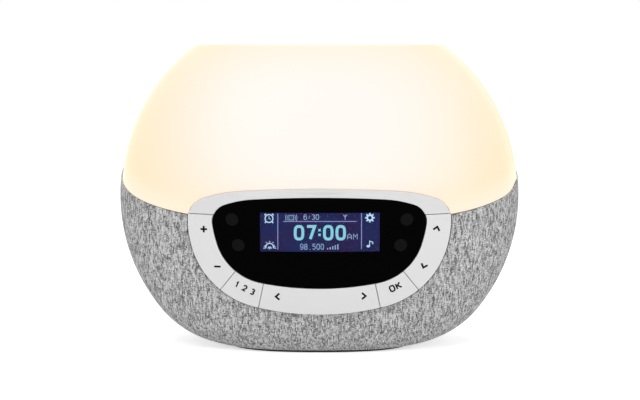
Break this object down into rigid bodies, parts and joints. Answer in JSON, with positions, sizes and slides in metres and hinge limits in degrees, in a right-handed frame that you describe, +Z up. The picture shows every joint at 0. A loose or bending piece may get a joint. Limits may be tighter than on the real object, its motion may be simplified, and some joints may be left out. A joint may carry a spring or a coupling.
{
  "type": "sunrise alarm clock",
  "caption": "Bedside wake-up lamp with a translucent dome on a fabric-covered bowl and a D-shaped front panel of rocker keys round a dark display window.",
  "frame": {"origin": "middle of the footprint of the whole object, on the surface it stands on", "axes": "+Z up, -Y out of the display towards the user, +X to the right as seen from the front"},
  "size_m": [0.2132, 0.1288, 0.1604],
  "materials": {
    "dome_plastic": "opal, satin, lit from inside",
    "shell_plastic": "moulded, hidden under the fabric",
    "fabric": "coarse grey melange weave",
    "dark_plastic": "moulded",
    "rubber": "matt",
    "screw_steel": "zinc plated",
    "grey_plastic": "light grey, fine satin",
    "window_gloss": "smoked, high gloss",
    "button_gloss": "black, glossy",
    "board_green": "solder mask",
    "board_white": "white solder mask on metal core",
    "chip_black": "moulded packages",
    "lcd_glass": "blue-black liquid-crystal panel",
    "white_plastic": "reflective white",
    "led_resin": "yellow phosphor",
    "sink_aluminium": "extruded",
    "basket_steel": "pressed, dull",
    "cone_black": "paper",
    "pin_brass": "tin plated"
  },
  "bodies": {
    "housing": {"diffuser_dome": "dome_plastic", "base_shell": "shell_plastic", "fabric_sleeve": "fabric", "base_plate": "dark_plastic", "foot_ring": "rubber", "base_screws": "screw_steel", "panel_frame": "grey_plastic", "display_window": "window_gloss", "switch_bodies": "dark_plastic", "pod_back_cover": "grey_plastic", "pod_screws": "screw_steel", "control_board": "board_green", "control_chips": "chip_black", "lcd_glass": "lcd_glass", "lcd_backlight": "dome_plastic", "lcd_holder": "dark_plastic", "reflector_deck": "white_plastic", "deck_screws": "screw_steel", "led_board": "board_white", "leds": "led_resin", "led_screws": "screw_steel", "heat_sink": "sink_aluminium", "rear_panel": "grey_plastic", "rear_screws": "screw_steel", "speaker_frame": "basket_steel", "speaker_cone": "cone_black", "speaker_magnet": "basket_steel", "speaker_screws": "screw_steel", "power_board": "board_green", "dc_socket": "dark_plastic", "dc_pin": "pin_brass", "power_parts": "chip_black", "aerial_bush": "rubber"},
    "left_rocker": {"left_rocker_key": "grey_plastic", "left_rocker_plungers": "dark_plastic"},
    "right_rocker": {"right_rocker_key": "grey_plastic", "right_rocker_plungers": "dark_plastic"},
    "bottom_rocker": {"bottom_rocker_key": "grey_plastic", "bottom_rocker_plungers": "dark_plastic"},
    "preset": {"preset_key": "grey_plastic", "preset_plunger": "dark_plastic"},
    "select": {"select_key": "grey_plastic", "select_plunger": "dark_plastic"},
    "upper_left": {"upper_left_button": "button_gloss", "upper_left_plunger": "dark_plastic"},
    "lower_left": {"lower_left_button": "button_gloss", "lower_left_plunger": "dark_plastic"},
    "upper_right": {"upper_right_button": "button_gloss", "upper_right_plunger": "dark_plastic"},
    "lower_right": {"lower_right_button": "button_gloss", "lower_right_plunger": "dark_plastic"}
  },
  "joints": [
    {"name": "left_rocker_hinge", "type": "hinge", "parent": "housing", "child": "left_rocker", "pos_m": [-0.0559, -0.0499, 0.05695], "axis": [0.9462, 0, 0.3236], "range_deg": [-1.8, 1.8], "stiffness_Nm_per_rad": 1},
    {"name": "right_rocker_hinge", "type": "hinge", "parent": "housing", "child": "right_rocker", "pos_m": [0.0559, -0.0499, 0.05695], "axis": [0.9462, 0, -0.3236], "range_deg": [-1.8, 1.8], "stiffness_Nm_per_rad": 1},
    {"name": "bottom_rocker_hinge", "type": "hinge", "parent": "housing", "child": "bottom_rocker", "pos_m": [0, -0.05158, 0.032], "axis": [0, 0, 1], "range_deg": [-1.2, 1.2], "stiffness_Nm_per_rad": 1},
    {"name": "preset_slide", "type": "slide", "parent": "housing", "child": "preset", "axis": [0, 1, 0], "range_m": [0, 0.0006], "stiffness_N_per_m": 4000},
    {"name": "select_slide", "type": "slide", "parent": "housing", "child": "select", "axis": [0, 1, 0], "range_m": [0, 0.0006], "stiffness_N_per_m": 4000},
    {"name": "upper_left_slide", "type": "slide", "parent": "housing", "child": "upper_left", "axis": [0, 1, 0], "range_m": [0, 0.0006], "stiffness_N_per_m": 4000},
    {"name": "lower_left_slide", "type": "slide", "parent": "housing", "child": "lower_left", "axis": [0, 1, 0], "range_m": [0, 0.0006], "stiffness_N_per_m": 4000},
    {"name": "upper_right_slide", "type": "slide", "parent": "housing", "child": "upper_right", "axis": [0, 1, 0], "range_m": [0, 0.0006], "stiffness_N_per_m": 4000},
    {"name": "lower_right_slide", "type": "slide", "parent": "housing", "child": "lower_right", "axis": [0, 1, 0], "range_m": [0, 0.0006], "stiffness_N_per_m": 4000}
  ]
}
